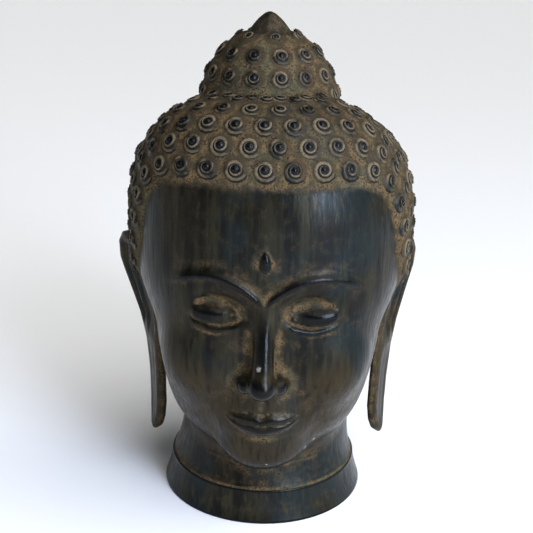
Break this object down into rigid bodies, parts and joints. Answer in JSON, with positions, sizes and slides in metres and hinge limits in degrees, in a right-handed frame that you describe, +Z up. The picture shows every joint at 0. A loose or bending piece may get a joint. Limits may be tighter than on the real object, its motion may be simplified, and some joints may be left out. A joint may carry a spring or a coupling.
{
  "type": "bronze buddha head",
  "caption": "Cast bronze head on a short neck with a flared collar, snail-shell curls, a crown knob with a smooth point and long ear lobes.",
  "frame": {"origin": "middle of the flat underside of the collar", "axes": "+Z up, the face looks along -Y, +X is on the right of somebody who faces it"},
  "size_m": [0.2304, 0.2372, 0.362],
  "materials": {
    "bronze": "dark patinated bronze, satin to glossy, with ochre dust in the hair"
  },
  "bodies": {
    "root": {"buddha_head": "bronze"}
  },
  "joints": []
}
